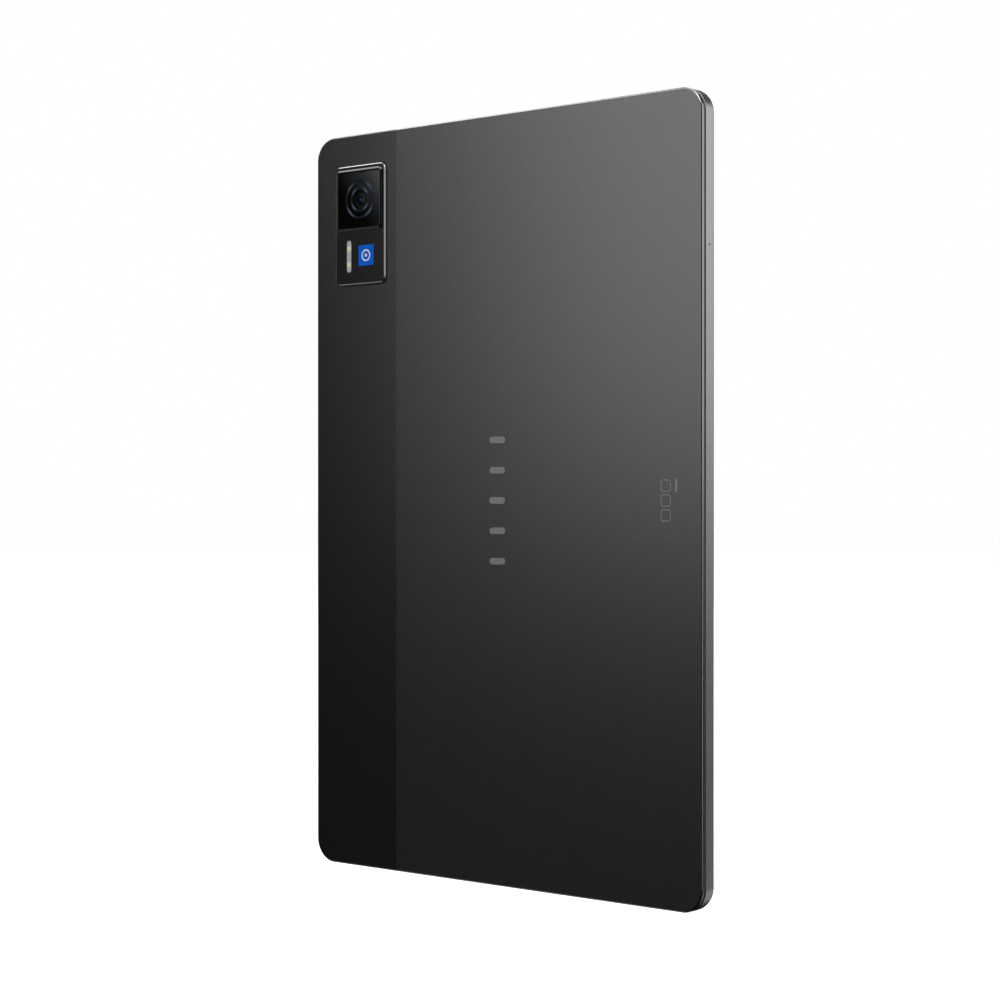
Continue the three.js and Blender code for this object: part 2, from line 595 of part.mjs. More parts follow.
// The module, and the lens barrel that moves in it to focus.
atLens("camera_module",
  cut(
    block(about(0, 4.8), [0.95, CHASSIS.from - 0.1], about(0, 4.8)),
    disc(BARREL_RADIUS + 0.25, 0, 3.2),
  ),
  MATERIAL.blackPlastic);
atLens("lens_barrel",
  turned([
    [0, 2.6], [BARREL_RADIUS, 2.6], [BARREL_RADIUS, -0.5], [BARREL_RADIUS - 0.25, -0.7],
    [2.3, -0.7], [2.3, 0.3], [0, 0.3],
  ]),
  MATERIAL.blackPlastic);
atLens("lens_element",
  turned([[0, 0.25], [2.2, 0.25], [2.2, -0.2], [1.2, -0.5], [0, -0.6]]),
  MATERIAL.clearGlass);

// ---------------------------------------------------------------- flash and badge

add("flash_lens", slab(flashOutline(0), -ISLAND_RISE - 0.02, 0.3, 4), MATERIAL.diffuser);
const led = block(about(0, 0.8), [0.4, 1], about(0, 0.8));
add("flash_led_upper", led, MATERIAL.ledYellow, FLASH.x, FLASH.z + FLASH.ledOffset);
add("flash_led_lower", led, MATERIAL.ledYellow, FLASH.x, FLASH.z - FLASH.ledOffset);
add("flash_board", block(about(0, 2), [1.3, 1.6], about(0, 6.5)), MATERIAL.copperFlex, FLASH.x, FLASH.z);
add("badge_plate",
  slab(badgeOutline(0), -ISLAND_RISE - 0.03, BADGE.thick - ISLAND_RISE - FIT, 1),
  MATERIAL.blue);

export default tablet;
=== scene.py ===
import math

import bmesh
import bpy
from mathutils import Matrix, Vector


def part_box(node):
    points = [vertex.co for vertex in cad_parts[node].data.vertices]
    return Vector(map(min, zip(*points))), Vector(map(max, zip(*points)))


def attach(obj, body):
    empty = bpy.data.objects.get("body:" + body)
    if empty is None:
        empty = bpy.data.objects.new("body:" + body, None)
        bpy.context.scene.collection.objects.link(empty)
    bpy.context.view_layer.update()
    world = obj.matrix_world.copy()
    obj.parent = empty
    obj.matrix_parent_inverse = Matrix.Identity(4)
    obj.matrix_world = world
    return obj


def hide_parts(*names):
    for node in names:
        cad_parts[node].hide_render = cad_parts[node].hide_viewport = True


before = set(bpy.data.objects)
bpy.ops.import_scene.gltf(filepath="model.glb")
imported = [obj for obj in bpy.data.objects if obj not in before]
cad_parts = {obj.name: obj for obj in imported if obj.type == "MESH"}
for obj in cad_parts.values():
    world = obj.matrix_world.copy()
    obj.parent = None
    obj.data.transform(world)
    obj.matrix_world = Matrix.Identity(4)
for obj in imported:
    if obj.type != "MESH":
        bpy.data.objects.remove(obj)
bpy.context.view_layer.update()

# The looks of an 11-inch tablet computer, built round its CAD model. Shapes are made in
# millimetres and scaled to metres as they become objects. +Z is up, -Y is the way the screen
# faces, and +X is the long edge with the cameras, the volume rocker and the card tray.

MM = 0.001


def box_mm(node):
    low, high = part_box(node)
    return low / MM, high / MM


def middle(node):
    low, high = box_mm(node)
    return (low + high) / 2


def heights(node):
    """Where a node starts and ends, as heights over the flat of the back panel."""
    low, high = box_mm(node)
    return low.y - BACK_Y, high.y - BACK_Y


RAIL_LOW, RAIL_HIGH = box_mm("mid_frame")
BODY = RAIL_HIGH - RAIL_LOW
MID_Z = RAIL_HIGH.z / 2
BACK_Y = box_mm("rear_cover")[1].y  # the flat of the back panel
SPLIT_X = (box_mm("rear_cover")[1].x + box_mm("antenna_cover")[0].x) / 2
LINE_DEPTH = 4
LINE_Y = BACK_Y - LINE_DEPTH  # keys and ports lie along this line

# Dimensions of the CAD model that no node's box gives, in millimetres. A start or an end is a
# depth behind the back panel, and an inset is a distance in from the body's outline.
CORNER = 8
SHELL = {"wall": 0.8, "rim_end": 1.2, "edge": 0.6, "rim": 2.2}
RAIL = {"wall": 2.4, "seam_end": 2.05, "seam": 0.7, "flat_end": 5.8, "round": 1.3, "front": 0.9}
SEAM_START = SHELL["rim_end"] + 0.05
LEDGE = {"start": 5.5, "end": 6.7, "inset": 4.6}
GLASS = {"start": 6.9, "end": 7.6, "inset": 1.15, "edge": 0.45}
KEY = {"thick": 2.4, "gap": 0.15}
POWER_LENGTH, VOLUME_LENGTH, TRAY_LENGTH = 14, 24, 19.4
SLOT = {"x": 38, "pitch": 3.7, "count": 5, "width": 2.6, "height": 1.2}
USB = {"width": 8.94, "thick": 3.26, "wall": 0.3}
MICROPHONE = {"z": 209, "radius": 0.32}
ISLAND = {"corner": 2.2, "rise": 0.9, "edge": 0.45, "gap": 0.45, "flange": 1.2, "foot": 0.85}
PLATE = {"corner": 1.4, "bevel": 0.6, "bevel_height": 0.3, "recess": 0.55}
SHROUD_RADIUS, BARREL_RADIUS = 7.05, 3.0

# Small distances that only this model uses, in millimetres.
MERGE = 1e-4  # points closer than this are one
BREAK = 0.05  # the chamfer on an edge that is out of sight
SPLIT_GAP = 0.01  # from each half of the rear shell to the line between them


# ---------------------------------------------------------------- outlines and places

ARC_STEPS = 16
EDGE_STEPS = 8
SMALLEST_RADIUS = 0.02


def round_rect(width, height, radius, centre=(0, 0), steps=ARC_STEPS):
    """The points of a rectangle with round corners, as a function of how far it moves in."""

    def points(inset):
        half_w, half_h = width / 2 - inset, height / 2 - inset
        r = max(min(radius - inset, half_w, half_h), SMALLEST_RADIUS)
        made = []
        for quarter, (sx, sy) in enumerate(((1, 1), (-1, 1), (-1, -1), (1, -1))):
            for k in range(steps + 1):
                angle = math.pi / 2 * (quarter + k / steps)
                x = centre[0] + sx * (half_w - r) + r * math.cos(angle)
                y = centre[1] + sy * (half_h - r) + r * math.sin(angle)
                made.append((x, y))
        return made

    return points


def pill(width, height, centre=(0, 0), steps=10):
    return round_rect(width, height, min(width, height) / 2, centre, steps)


def circle(radius, centre=(0, 0), steps=72):
    def points(inset):
        angles = [2 * math.pi * k / steps for k in range(steps)]
        r = radius - inset
        return [(centre[0] + r * math.cos(a), centre[1] + r * math.sin(a)) for a in angles]

    return points


def place(origin, u, v, h):
    """Puts outlines drawn along u and v at an origin, with heights along h."""
    matrix = Matrix((u, v, h)).transposed().to_4x4()
    matrix.translation = origin
    return matrix


X, Y, Z = Vector((1, 0, 0)), Vector((0, 1, 0)), Vector((0, 0, 1))
BACK = place((0, BACK_Y, 0), X, Z, Y)  # a height is minus a depth
TOP = place((0, LINE_Y, RAIL_HIGH.z), X, Y, Z)
BOTTOM = place((0, LINE_Y, 0), X, Y, -Z)
CAMERA_SIDE = place((RAIL_HIGH.x, LINE_Y, 0), Z, Y, X)
FAR_SIDE = place((RAIL_LOW.x, LINE_Y, 0), Z, Y, -X)
body_outline = round_rect(BODY.x, BODY.z, CORNER, (0, MID_Z))


# ---------------------------------------------------------------- solids

def rounding(inset, height, radius, up=1, steps=EDGE_STEPS):
    """[inset, height] stations from a side face, round an edge, onto the face at that height."""
    angles = [math.pi / 2 * k / steps for k in range(steps + 1)]
    return [
        (inset + radius * (1 - math.cos(a)), height - up * radius * (1 - math.sin(a)))
        for a in angles
    ]


def sweep(outline, profile, where, closed=False):
    """A solid from [inset, height] stations, capped at both ends or closed into a ring."""
    bm = bmesh.new()
    loops = [
        [bm.verts.new(where @ Vector((u, v, height))) for u, v in outline(inset)]
        for inset, height in profile
    ]
    following = loops[1:] + loops[:1] if closed else loops[1:]
    for low, high in zip(loops, following):
        for j, corner in enumerate(low):
            k = (j + 1) % len(low)
            bm.faces.new((corner, low[k], high[k], high[j]))
    if not closed:
        bm.faces.new(loops[0])
        bm.faces.new(loops[-1])
    bmesh.ops.remove_doubles(bm, verts=bm.verts, dist=MERGE)
    bmesh.ops.recalc_face_normals(bm, faces=bm.faces)
    return bm


def slab(outline, bottom, top, where, edge=0.0, foot=0.0, steps=EDGE_STEPS):
    """A plate between two heights, with its top and bottom edges rounded."""
    low = rounding(0, bottom, foot, -1, steps)[::-1] if foot else [(0, bottom)]
    high = rounding(0, top, edge, 1, steps) if edge else [(0, top)]
    return sweep(outline, low + high, where)


def turned(profile, centre, where, steps=96):
    """A round solid from [radius, height] points, closed into a ring."""
    return sweep(circle(0, centre, steps), [(-r, h) for r, h in profile], where, closed=True)


def dome(radius, base, rim, crown, centre, where, steps=10):
    """A round lens: a flat back at `base`, and a front that rises from `rim` to `crown`."""
    front = [
        (radius * math.cos(math.pi / 2 * k / steps) + 0.01,
         rim + (crown - rim) * math.sin(math.pi / 2 * k / steps))
        for k in range(steps + 1)
    ]
    return sweep(circle(0, centre, 64), [(-r, h) for r, h in [(radius, base)] + front], where)


def opening(outline, depth, where, mouth):
    """A cutter for a hole in a wall whose face is at height 0, with its edge rounded."""
    arc = [math.pi / 8 * k for k in range(1, 5)]
    rim = [(-mouth * (1 - math.sin(a)), -mouth * (1 - math.cos(a))) for a in arc]
    clear_of_face = 1.0
    return sweep(outline, [(-mouth, clear_of_face), *rim, (0, -depth)], where)


def merged(*parts):
    """Several solids in one mesh."""
    whole = bmesh.new()
    for part in parts:
        mesh = bpy.data.meshes.new("part")
        part.to_mesh(mesh)
        part.free()
        whole.from_mesh(mesh)
        bpy.data.meshes.remove(mesh)
    return whole


def loose_object(bm):
    mesh = bpy.data.meshes.new("loose")
    bm.to_mesh(mesh)
    bm.free()
    made = bpy.data.objects.new("loose", mesh)
    bpy.context.scene.collection.objects.link(made)
    return made


def carve(bm, *cutters, operation="DIFFERENCE"):
    """The solid with each cutter taken out of it, or joined to it."""
    target, tools = loose_object(bm), [loose_object(c) for c in cutters]
    for tool in tools:
        step = target.modifiers.new("cut", "BOOLEAN")
        step.operation = operation
        step.solver = "EXACT"
        step.object = tool
    graph = bpy.context.evaluated_depsgraph_get()
    result = bmesh.new()
    result.from_mesh(target.evaluated_get(graph).to_mesh())
    for o in [target, *tools]:
        mesh = o.data
        bpy.data.objects.remove(o)
        bpy.data.meshes.remove(mesh)
    bmesh.ops.remove_doubles(result, verts=result.verts, dist=MERGE)
    return result


def half_of(bm, x, side):
    """What lies on one side of a plane across X, closed where it was cut."""
    parts = bm.verts[:] + bm.edges[:] + bm.faces[:]
    bmesh.ops.bisect_plane(
        bm, geom=parts, dist=1e-5, plane_co=(x, 0, 0), plane_no=(-side, 0, 0), clear_outer=True)
    rim = [e for e in bm.edges if e.is_boundary]
    bmesh.ops.edgeloop_fill(bm, edges=rim)
    bmesh.ops.recalc_face_normals(bm, faces=bm.faces)
    return bm


SHARP = math.radians(32)


def piece(name, bm, body, material, replaces=()):
    """An object of the visual model, which rides on a CAD body."""
    bm.transform(Matrix.Scale(MM, 4))
    mesh = bpy.data.meshes.new(name)
    bm.to_mesh(mesh)
    bm.free()
    mesh.polygons.foreach_set("use_smooth", [True] * len(mesh.polygons))
    mesh.set_sharp_from_angle(angle=SHARP)
    mesh.materials.append(material)
    made = bpy.data.objects.new(name, mesh)
    bpy.context.scene.collection.objects.link(made)
    even = made.modifiers.new("even_normals", "WEIGHTED_NORMAL")
    even.keep_sharp = True
    even.weight = 100
    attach(made, body)
    if replaces:
        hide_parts(*replaces)
    return made


# ---------------------------------------------------------------- materials

class Nodes:
    """A material's node tree, with short ways to add to it."""

    def __init__(self, name):
        self.material = bpy.data.materials.new(name)
        self.material.use_nodes = True
        self.tree = self.material.node_tree
        self.shader = self.tree.nodes["Principled BSDF"]
        self.output = self.tree.nodes["Material Output"]
        self.coords = self.add("ShaderNodeTexCoord").outputs["Object"]

    def add(self, kind, **settings):
        node = self.tree.nodes.new(kind)
        for key, value in settings.items():
            setattr(node, key, value)
        return node

    def feed(self, node, socket, value):
        if isinstance(value, bpy.types.NodeSocket):
            self.tree.links.new(value, node.inputs[socket])
        else:
            node.inputs[socket].default_value = value

    def math(self, operation, *values):
        node = self.add("ShaderNodeMath", operation=operation)
        for i, value in enumerate(values):
            self.feed(node, i, value)
        return node.outputs[0]

    def noise(self, scale, detail=3.0, stretch=(1, 1, 1)):
        spread = self.add("ShaderNodeMapping")
        self.feed(spread, "Vector", self.coords)
        self.feed(spread, "Scale", stretch)
        node = self.add("ShaderNodeTexNoise")
        self.feed(node, "Vector", spread.outputs[0])
        self.feed(node, "Scale", scale)
        self.feed(node, "Detail", detail)
        return node.outputs["Fac"]

    def between(self, value, low, high, start=0.3, end=0.7):
        node = self.add("ShaderNodeMapRange")
        for socket, given in (("Value", value), ("From Min", start), ("From Max", end),
                              ("To Min", low), ("To Max", high)):
            self.feed(node, socket, given)
        return node.outputs[0]

    def blend(self, share, first, second):
        node = self.add("ShaderNodeMix", data_type="RGBA")
        self.feed(node, "Factor", share)
        self.feed(node, 6, first)
        self.feed(node, 7, second)
        return node.outputs[2]

    def bump(self, height, strength, distance):
        node = self.add("ShaderNodeBump")
        self.feed(node, "Height", height)
        self.feed(node, "Strength", strength)
        self.feed(node, "Distance", distance)
        self.feed(self.shader, "Normal", node.outputs[0])

    def separate(self):
        node = self.add("ShaderNodeSeparateXYZ")
        self.feed(node, 0, self.coords)
        return node.outputs

    def distance_to(self, point):
        node = self.add("ShaderNodeVectorMath", operation="DISTANCE")
        self.feed(node, 0, self.coords)
        self.feed(node, 1, point)
        return node.outputs["Value"]


def rgba(colour):
    return (*colour, 1.0) if len(colour) == 3 else colour


GRAIN_HEIGHT = 0.00002  # metres


def finish_of(name, dark, light, roughness, metallic=0.0, scale=900.0, detail=3.0, spread=0.06,
              bump=0.0, stretch=(1, 1, 1), specular=0.5):
    """A finish whose colour and roughness vary with a fine grain."""
    nodes = Nodes(name)
    grain = nodes.noise(scale, detail, stretch)
    nodes.feed(nodes.shader, "Base Color", nodes.blend(
        nodes.between(grain, 0.0, 1.0), rgba(dark), rgba(light)))
    nodes.feed(nodes.shader, "Roughness",
               nodes.between(grain, roughness - spread, roughness + spread))
    nodes.shader.inputs["Metallic"].default_value = metallic
    nodes.shader.inputs["Specular IOR Level"].default_value = specular
    if bump:
        nodes.bump(grain, bump, GRAIN_HEIGHT)
    return nodes


def grey(value, tint=(1.0, 1.0, 1.0)):
    return tuple(value * t for t in tint)


COOL = (0.985, 1.0, 0.995)
GREENISH = (0.94, 1.0, 0.99)
finishes = {
    "back_panel": finish_of("blasted_anodising", grey(0.18, COOL), grey(0.22, COOL), 0.349, 1.0,
                            scale=2600, detail=2, spread=0.03, bump=0.06),
    "antenna_strip": finish_of("strip_lacquer", grey(0.27, COOL), grey(0.29, COOL), 0.255, 1.0,
                               scale=3200, detail=2, spread=0.008, bump=0.003),
    "side_rail": finish_of("rail_anodising", grey(0.42, COOL), grey(0.5, COOL), 0.36, 1.0,
                           scale=2600, detail=2, spread=0.03, bump=0.05),
    "island": finish_of("island_anodising", grey(0.1), grey(0.115), 0.27, 1.0,
                        scale=3000, detail=2, spread=0.004, bump=0.0005),
    "lens_trim": finish_of("polished_trim", grey(0.1, GREENISH), grey(0.13, GREENISH), 0.2, 1.0,
                           scale=1500, spread=0.04),
    "black_plastic": finish_of("matte_black", grey(0.008), grey(0.014), 0.5, scale=2500, bump=0.15),
    "display_panel": finish_of("polariser", grey(0.008), grey(0.011), 0.25, scale=300),
    "backlight_film": finish_of("film_stack", grey(0.74), grey(0.85), 0.28, scale=500, spread=0.08),
    "chassis_alloy": finish_of("stamped_alloy", grey(0.4), grey(0.5), 0.42, 1.0, scale=1200,
                               bump=0.1),
    "steel_parts": finish_of("plain_steel", grey(0.5), grey(0.64), 0.3, 1.0, scale=900,
                             stretch=(1, 1, 8), spread=0.08),
    "circuit_board": finish_of("solder_mask", (0.006, 0.04, 0.022), (0.012, 0.065, 0.04), 0.4,
                               scale=700, detail=6, bump=0.3),
    "flex_circuit": finish_of("polyimide", (0.36, 0.15, 0.04), (0.5, 0.23, 0.07), 0.4,
                              scale=800, stretch=(6, 1, 1)),
    "battery_pouch": finish_of("laminate_foil", grey(0.022), grey(0.036), 0.4, 0.6, scale=250,
                               detail=5, bump=0.5),
    "black_seal": finish_of("foam_adhesive", grey(0.008), grey(0.014), 0.85, scale=2500, bump=0.4),
    "led_phosphor": finish_of("phosphor", (0.8, 0.62, 0.18), (0.95, 0.8, 0.3), 0.6, scale=4000),
    "badge": finish_of("badge_blue", (0.0, 0.13, 0.72), (0.0, 0.14, 0.78), 0.5, scale=1200,
                       specular=0.1),
}
print_white = finish_of("badge_print", grey(0.85), grey(0.93), 0.4, scale=1500)
panel_rim = finish_of("panel_rim", grey(0.3, COOL), grey(0.36, COOL), 0.2, 1.0, scale=2600,
                      spread=0.03)
strip_rim = finish_of("strip_rim", grey(0.16, COOL), grey(0.2, COOL), 0.2, 1.0, scale=3200,
                      spread=0.03)
bright_edge = finish_of("island_bright_edge", grey(0.6), grey(0.7), 0.3, 1.0, scale=3000, detail=2,
                        spread=0.03)
back_print = finish_of("back_print", grey(0.3), grey(0.36), 0.5, 0.4, scale=2600, bump=0.03)
gold = finish_of("contact_gold", (0.75, 0.52, 0.2), (0.85, 0.62, 0.28), 0.25, 1.0, scale=2500)


# Periods of the fine patterns below, in metres.
WIRE_PERIOD, LENS_RING_PERIOD, RIB_PERIOD = 0.00022, 0.0007, 0.0006


def woven_mesh():
    """A fine wire cloth: wires one way and the other, with dark holes between them."""
    nodes = Nodes("wire_cloth")
    x, _, z = nodes.separate()
    turns_per_metre = 2 * math.pi / WIRE_PERIOD
    wires = nodes.math("MULTIPLY", nodes.math("SINE", nodes.math("MULTIPLY", x, turns_per_metre)),
                       nodes.math("SINE", nodes.math("MULTIPLY", z, turns_per_metre)))
    nodes.feed(nodes.shader, "Base Color", nodes.blend(
        nodes.between(wires, 0.0, 1.0, -0.4, 0.4), rgba(grey(0.01)), rgba(grey(0.07))))
    nodes.shader.inputs["Roughness"].default_value = 0.5
    nodes.shader.inputs["Metallic"].default_value = 0.6
    nodes.bump(wires, 0.4, 0.00005)
    return nodes


def rings_with_painted_highlights(centre):
    """Blue-grey metal with painted highlights: lighter in four diagonal lobes, as turned metal
    looks when lit.
    """
    nodes = Nodes("ring_painted_highlights")
    x, _, z = nodes.separate()
    across = nodes.math("SUBTRACT", x, centre.x * MM)
    up = nodes.math("SUBTRACT", z, centre.z * MM)
    angle = nodes.math("ARCTAN2", up, across)
    wave = nodes.math("SINE", nodes.math("MULTIPLY", angle, 2.0))
    # Painted highlights: four diagonal lobes are made lighter, standing in for light caught by
    # turned metal.
    painted_highlight = nodes.math("POWER", nodes.math("ABSOLUTE", wave), 5.0)
    grain = nodes.between(nodes.noise(5000, 2), -0.08, 0.08)
    share = nodes.math("ADD", painted_highlight, grain)
    nodes.feed(nodes.shader, "Base Color", nodes.blend(
        share, (0.035, 0.04, 0.07, 1), (0.3, 0.38, 0.48, 1)))
    nodes.shader.inputs["Roughness"].default_value = 0.45
    nodes.shader.inputs["Metallic"].default_value = 0.3
    return nodes


def screen_face(display_low, display_high):
    """Cover glass with black ink round its border, and the dark display behind the rest.

    `beyond` is how far a point lies outside the display, in metres: it is negative inside.
    """
    nodes = Nodes("screen_face")
    x, _, z = nodes.separate()
    from_middle = nodes.math("ABSOLUTE", nodes.math("SUBTRACT", z, MID_Z * MM))
    beyond = nodes.math(
        "MAXIMUM",
        nodes.math("SUBTRACT", nodes.math("ABSOLUTE", x),
                   (display_high.x - display_low.x) / 2 * MM),
        nodes.math("SUBTRACT", from_middle, (display_high.z - display_low.z) / 2 * MM))
    display = nodes.between(beyond, 1.0, 0.0, -0.0008, -0.0006)
    nodes.feed(nodes.shader, "Base Color", nodes.blend(
        display, (0.0025, 0.0025, 0.003, 1), (0.016, 0.016, 0.018, 1)))
    nodes.feed(nodes.shader, "Roughness", nodes.between(display, 0.05, 0.1))
    nodes.shader.inputs["Specular IOR Level"].default_value = 0.5
    return nodes


def window_ink_with_painted_sheen(centre, half):
    """Black ink behind the window, with a painted sheen: it turns grey towards the upper far
    corner, where a reflection would lie.
    """
    nodes = Nodes("window_ink_with_painted_sheen")
    x, _, z = nodes.separate()
    across = nodes.math("SUBTRACT", centre.x * MM, x)
    up = nodes.math("SUBTRACT", z, centre.z * MM)
    diagonal = nodes.math("ADD", across, up)
    share = nodes.between(diagonal, 0.0, 1.0, -0.9 * half * MM, 2 * half * MM)
    # Painted sheen: the grey that grows along the diagonal stands in for a reflection on the glass.
    painted_sheen = nodes.math("POWER", share, 2.2)
    grain = nodes.between(nodes.noise(4000, 2), -0.01, 0.01)
    nodes.feed(nodes.shader, "Base Color", nodes.blend(
        nodes.math("ADD", painted_sheen, grain), (0.0004, 0.0004, 0.0005, 1), (0.3, 0.3, 0.3, 1)))
    nodes.shader.inputs["Roughness"].default_value = 0.6
    nodes.shader.inputs["Specular IOR Level"].default_value = 0.05
    return nodes


def tinted_window():
    """Dark coated glass that what lies under it shows through."""
    nodes = Nodes("camera_window")
    clear = nodes.add("ShaderNodeBsdfTransparent")
    nodes.feed(clear, "Color", nodes.blend(
        nodes.noise(200), (0.76, 0.77, 0.78, 1), (0.8, 0.81, 0.82, 1)))
    gloss = nodes.add("ShaderNodeBsdfGlossy")
    gloss.inputs["Color"].default_value = (0.95, 0.98, 1.0, 1)
    nodes.feed(gloss, "Roughness", nodes.between(nodes.noise(90), 0.1, 0.14))
    fresnel = nodes.add("ShaderNodeFresnel")
    fresnel.inputs["IOR"].default_value = 1.5
    outside = nodes.math("SUBTRACT", 1.0, nodes.add("ShaderNodeNewGeometry").outputs["Backfacing"])
    both = nodes.add("ShaderNodeMixShader")
    nodes.feed(both, 0, nodes.math("MULTIPLY", fresnel.outputs[0], outside))
    nodes.feed(both, 1, clear.outputs[0])
    nodes.feed(both, 2, gloss.outputs[0])
    nodes.feed(nodes.output, "Surface", both.outputs[0])
    nodes.tree.nodes.remove(nodes.shader)
    return nodes


def lens_with_painted_glint(centre):
    """A dark coated lens with faint rings, and a painted glint at its centre: a small blue dot with
    a violet trail.
    """
    nodes = Nodes("lens_with_painted_glint")
    out = nodes.distance_to((centre.x * MM, centre.y * MM, centre.z * MM))
    rings = nodes.math("SINE", nodes.math("MULTIPLY", out, 2 * math.pi / LENS_RING_PERIOD))
    face = nodes.blend(nodes.between(rings, 0.0, 1.0, -1, 1), (0.012, 0.012, 0.013, 1),
                       (0.02, 0.02, 0.022, 1))
    # Painted glint: a blue dot at the centre, and a violet trail below it and to one side.
    painted_glint = nodes.between(out, 1.0, 0.0, 0.0002, 0.00055)
    from_painted_glint_tail = nodes.distance_to(
        ((centre.x - 0.35) * MM, centre.y * MM, (centre.z - 0.45) * MM))
    painted_glint_tail = nodes.between(from_painted_glint_tail, 1.0, 0.0, 0.0002, 0.0005)
    violet = nodes.blend(painted_glint_tail, face, (0.1, 0.05, 0.35, 1))
    nodes.feed(nodes.shader, "Base Color", nodes.blend(painted_glint, violet, (0.08, 0.22, 0.8, 1)))
    nodes.shader.inputs["Roughness"].default_value = 0.12
    return nodes


def milky_diffuser(centre, led_offset):
    """A ribbed white window, warmer in front of each of the two lamps behind it."""
    nodes = Nodes("milky_diffuser")
    _, _, z = nodes.separate()
    ribs = nodes.math("SINE", nodes.math("MULTIPLY", z, 2 * math.pi / RIB_PERIOD))
    face = nodes.blend(nodes.between(ribs, 0.0, 1.0, -1, 1), (0.44, 0.44, 0.44, 1),
                       (0.66, 0.66, 0.65, 1))
    for side in (-1, 1):
        at = (centre.x * MM, centre.y * MM, (centre.z + side * led_offset) * MM)
        warmth = nodes.between(nodes.distance_to(at), 1.0, 0.0, 0.0006, 0.0013)
        face = nodes.blend(warmth, face, (1.0, 0.88, 0.6, 1))
    nodes.feed(nodes.shader, "Base Color", face)
    nodes.shader.inputs["Roughness"].default_value = 0.25
    nodes.bump(ribs, 0.3, 0.0001)
    return nodes


lens_centre = middle("camera_glass")
glass_low, glass_high = box_mm("camera_glass")
GLASS_SIZE = glass_high.x - glass_low.x
flash_centre = middle("flash_lens")
led_offset = middle("flash_led_upper").z - flash_centre.z
finishes["screen_glass"] = screen_face(*box_mm("lcd_panel"))
finishes["acoustic_mesh"] = woven_mesh()
finishes["lens_rings"] = rings_with_painted_highlights(lens_centre)
finishes["camera_window"] = tinted_window()
# The window's ink, with its painted sheen, also colours the lens shroud.
ink_and_painted_sheen = window_ink_with_painted_sheen(lens_centre, GLASS_SIZE / 2)
finishes["lens_optics"] = lens_with_painted_glint(
    Vector((lens_centre.x, box_mm("lens_element")[1].y, lens_centre.z)))
finishes["flash_diffuser"] = milky_diffuser(
    Vector((flash_centre.x, box_mm("flash_lens")[1].y, flash_centre.z)), led_offset)
paint = {slot: nodes.material for slot, nodes in finishes.items()}


def add_piece(name, bm, slot, *replaces, body="housing"):
    return piece(name, bm, body, paint[slot], replaces)


# ---------------------------------------------------------------- CAD pieces that stay

NODE_FINISH = {
    "chassis_alloy": ["chassis_plate"],
    "black_seal": ["display_seal"],
    "display_panel": ["lcd_panel"],
    "backlight_film": ["backlight_unit"],
    "flex_circuit": ["display_flex", "main_flex", "wifi_antenna", "cellular_antenna",
                     "side_key_flex", "flash_board"],
    "black_plastic": ["front_camera", "speaker_top_inner", "speaker_top_outer",
                      "speaker_bottom_inner", "speaker_bottom_outer", "camera_module",
                      "usb_tongue"],
    "battery_pouch": ["battery_cell_inner", "battery_cell_outer"],
    "circuit_board": ["battery_board", "mainboard", "usb_board"],
    "steel_parts": ["processor_shield", "radio_shield", "screw_1", "screw_2", "screw_3",
                    "screw_4", "screw_5", "side_microphone", "power_switch", "volume_switch_up",
                    "volume_switch_down", "card_socket", "eject_lever", "eject_rod"],
    "acoustic_mesh": ["speaker_mesh_top_inner", "speaker_mesh_top_outer",
                      "speaker_mesh_bottom_inner", "speaker_mesh_bottom_outer"],
    "led_phosphor": ["flash_led_upper", "flash_led_lower"],
}
for slot_name, nodes_of_slot in NODE_FINISH.items():
    for node in nodes_of_slot:
        for place_of_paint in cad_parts[node].material_slots:
            place_of_paint.material = paint[slot_name]


# ---------------------------------------------------------------- rear shell

def shell_solid():
    rim, wall, end = SHELL["rim"], SHELL["wall"], SHELL["rim_end"]
    inside = [(rim + 0.02, -wall), (rim, -wall), (rim, -end), (BREAK, -end), (0, -end + BREAK)]
    return sweep(body_outline, inside + rounding(0, 0, SHELL["edge"]), BACK)


island = middle("camera_island")
island_low, island_high = box_mm("camera_island")
ISLAND_SIZE = (island_high.x - island_low.x - 2 * ISLAND["flange"],
               island_high.z - island_low.z - 2 * ISLAND["flange"])


def island_outline(grow=0.0):
    return round_rect(ISLAND_SIZE[0] + 2 * grow, ISLAND_SIZE[1] + 2 * grow,
                      ISLAND["corner"] + grow, (island.x, island.z))


SIDEWAYS, FLAT = 0.03, 0.995  # how far a face looks backwards: not at all, and straight


def polish_rim(shell, finish):
    """Gives the rounding round a half of the rear shell its own finish."""
    shell.data.materials.append(finish.material)
    for face in shell.data.polygons:
        depth = BACK_Y - face.center.y / MM
        if 0 < depth < SHELL["edge"] and SIDEWAYS < face.normal.y < FLAT:
            face.material_index = 1


back_panel = add_piece(
    "back_panel", half_of(shell_solid(), SPLIT_X - SPLIT_GAP, -1), "back_panel", "rear_cover")
antenna_strip = add_piece(
    "antenna_strip",
    carve(half_of(shell_solid(), SPLIT_X + SPLIT_GAP, 1),
          opening(island_outline(ISLAND["gap"]), 3, BACK, 0.08)),
    "antenna_strip", "antenna_cover")
polish_rim(back_panel, panel_rim)
polish_rim(antenna_strip, strip_rim)


# ---------------------------------------------------------------- side rail

RAIL_END, SEAT_INSET = 7.1, 1.05  # where the rail stops, and the edge that the glass sits inside


